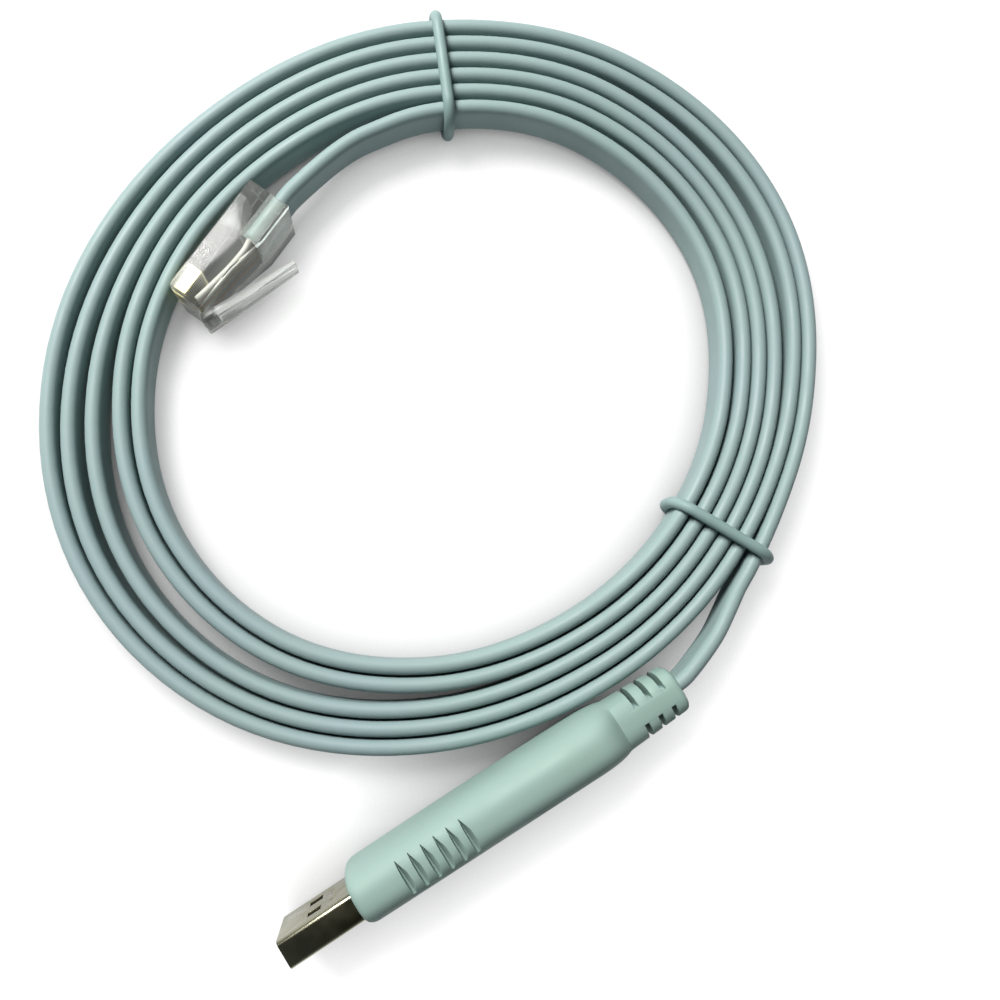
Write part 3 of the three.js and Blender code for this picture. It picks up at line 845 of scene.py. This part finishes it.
# Eight insulated wires in the clear plug: their path as (along, across), and how far they fan out on it
wires = {
    "path": [(13.9, -1.2), (12.3, -1.6), (9.0, -1.55), (5.0, -1.1), (1.3, -0.5)],
    "fan": [0.85, 0.95, 1.0, 1.02, 1.02],
    "thickness": 0.92, "sides": 12, "longestStep": 1.5, "shade": 0.85, "patches": 300.0, "rough": (0.4, 0.5),
    "grain": 0.05,
    "tints": [(0.3, 0.25, 0.2), (0.26, 0.27, 0.3), (0.34, 0.28, 0.2), (0.3, 0.22, 0.19),
              (0.24, 0.27, 0.23), (0.38, 0.32, 0.24), (0.36, 0.31, 0.26), (0.62, 0.61, 0.56)],
}


def makeWires():
    section = wireSection(wires["thickness"] / 2, wires["sides"])
    for index, tint in enumerate(wires["tints"]):
        step = index - (len(wires["tints"]) - 1) / 2
        points = [Vector((x, y, modularMiddle + step * gap))
                  for (x, y), gap in zip(wires["path"], wires["fan"])]
        bm = sweepTube(smoothRoute(points, longest=wires["longestStep"]), section)
        darker = [part * wires["shade"] for part in tint]
        finish = {"tints": [tint, darker], "patches": wires["patches"], "rough": wires["rough"],
                  "grain": wires["grain"]}
        material = makeSoftPlastic(f"wireCoating{index + 1}", finish)
        finishPiece(f"inner_wire_{index + 1}", bm, material, modularPlace)


makeWires()
print("modular plug made")

# Finishes of the pieces that stay as they are


def dressNodes():
    finishes = {"usb_tongue": insulator}
    finishes.update({f"usb_contact_{index + 1}": goldPlate for index in range(4)})
    finishes.update({f"rj45_contact_{index + 1}": goldPlate for index in range(blades["count"])})
    for name, material in finishes.items():
        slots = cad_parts[name].data.materials
        slots.clear()
        slots.append(material)


dressNodes()

usbEndPieces = [usbGrip, usbShell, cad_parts["usb_tongue"]]
usbEndPieces += [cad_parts[f"usb_contact_{index + 1}"] for index in range(4)]

# Floor and light, in metres

studio = {
    "floorSize": 3.0, "floorColour": (0.5, 0.51, 0.51), "floorRough": 0.9,
    "floorGlow": 0.6, "glowStrength": 1.35, "glowReach": 0.012, "glowSamples": 8,
    "worldColour": (0.88, 0.95, 1.0), "ceilingColour": (0.1, 0.1, 0.07), "ceilingRise": (0.35, 0.95),
    "worldStrength": 0.24,
    "keyPlace": (-0.26, 0.32, 0.5), "keySize": 0.28, "keyPower": 6.4, "keyColour": (1.0, 0.99, 0.97),
}


def makeFloor():
    bm = bmesh.new()
    bmesh.ops.create_grid(bm, x_segments=1, y_segments=1, size=studio["floorSize"] / 2)
    mesh = bpy.data.meshes.new("pale_floor")
    bm.to_mesh(mesh)
    bm.free()
    floor = bpy.data.objects.new("pale_floor", mesh)
    bpy.context.collection.objects.link(floor)
    material, nodes, link, surface = startMaterial("paleFloor")
    surface.inputs["Base Color"].default_value = (*studio["floorColour"], 1)
    surface.inputs["Roughness"].default_value = studio["floorRough"]
    # A white glow lightens the shadows that are seen on the open floor, but lights nothing. An occlusion
    # mask fades the glow out near the pieces and in the gaps between the turns, which paints shade there.
    glow = nodes.new("ShaderNodeEmission")
    glow.inputs["Strength"].default_value = studio["glowStrength"]
    # painted shade: the glow dims wherever other surfaces lie within its reach
    paintedShadeMask = nodes.new("ShaderNodeAmbientOcclusion")
    paintedShadeMask.samples = studio["glowSamples"]
    paintedShadeMask.inputs["Distance"].default_value = studio["glowReach"]
    link(paintedShadeMask.outputs["Color"], glow.inputs["Color"])
    path = nodes.new("ShaderNodeLightPath")
    share = nodes.new("ShaderNodeMath")
    share.operation = "MULTIPLY_ADD"
    share.inputs[1].default_value = -studio["floorGlow"]
    share.inputs[2].default_value = studio["floorGlow"]
    mix = nodes.new("ShaderNodeMixShader")
    link(path.outputs["Is Diffuse Ray"], share.inputs[0])
    link(share.outputs["Value"], mix.inputs["Fac"])
    link(surface.outputs["BSDF"], mix.inputs[1])
    link(glow.outputs["Emission"], mix.inputs[2])
    link(mix.outputs["Shader"], nodes["Material Output"].inputs["Surface"])
    mesh.materials.append(material)


def makeKeyLight():
    # One large lamp behind and to the left, aimed at the floor's middle
    data = bpy.data.lights.new("keyLight", "AREA")
    data.size = studio["keySize"]
    data.energy = studio["keyPower"]
    data.color = studio["keyColour"]
    light = bpy.data.objects.new("keyLight", data)
    light.location = studio["keyPlace"]
    light.rotation_euler = (-Vector(studio["keyPlace"])).to_track_quat("-Z", "Y").to_euler()
    bpy.context.collection.objects.link(light)


def makeWorld():
    # Pale round the sides and dark overhead, so that the crests don't shine
    world = bpy.data.worlds.new("paleStudio")
    world.use_nodes = True
    nodes, link = world.node_tree.nodes, world.node_tree.links.new
    background = nodes["Background"]
    direction = nodes.new("ShaderNodeTexCoord")
    split = nodes.new("ShaderNodeSeparateXYZ")
    climb = nodes.new("ShaderNodeMapRange")
    climb.inputs["From Min"].default_value = studio["ceilingRise"][0]
    climb.inputs["From Max"].default_value = studio["ceilingRise"][1]
    mix = nodes.new("ShaderNodeMix")
    mix.data_type = "RGBA"
    mix.inputs[6].default_value = (*studio["worldColour"], 1)
    mix.inputs[7].default_value = (*studio["ceilingColour"], 1)
    link(direction.outputs["Generated"], split.inputs["Vector"])
    link(split.outputs["Z"], climb.inputs["Value"])
    link(climb.outputs["Result"], mix.inputs["Factor"])
    link(mix.outputs[2], background.inputs["Color"])
    background.inputs["Strength"].default_value = studio["worldStrength"]
    bpy.context.scene.world = world


makeFloor()
makeKeyLight()
makeWorld()
bpy.context.scene.view_settings.view_transform = "Standard"
bpy.context.scene.view_settings.look = "Medium High Contrast"
print("studio ready")
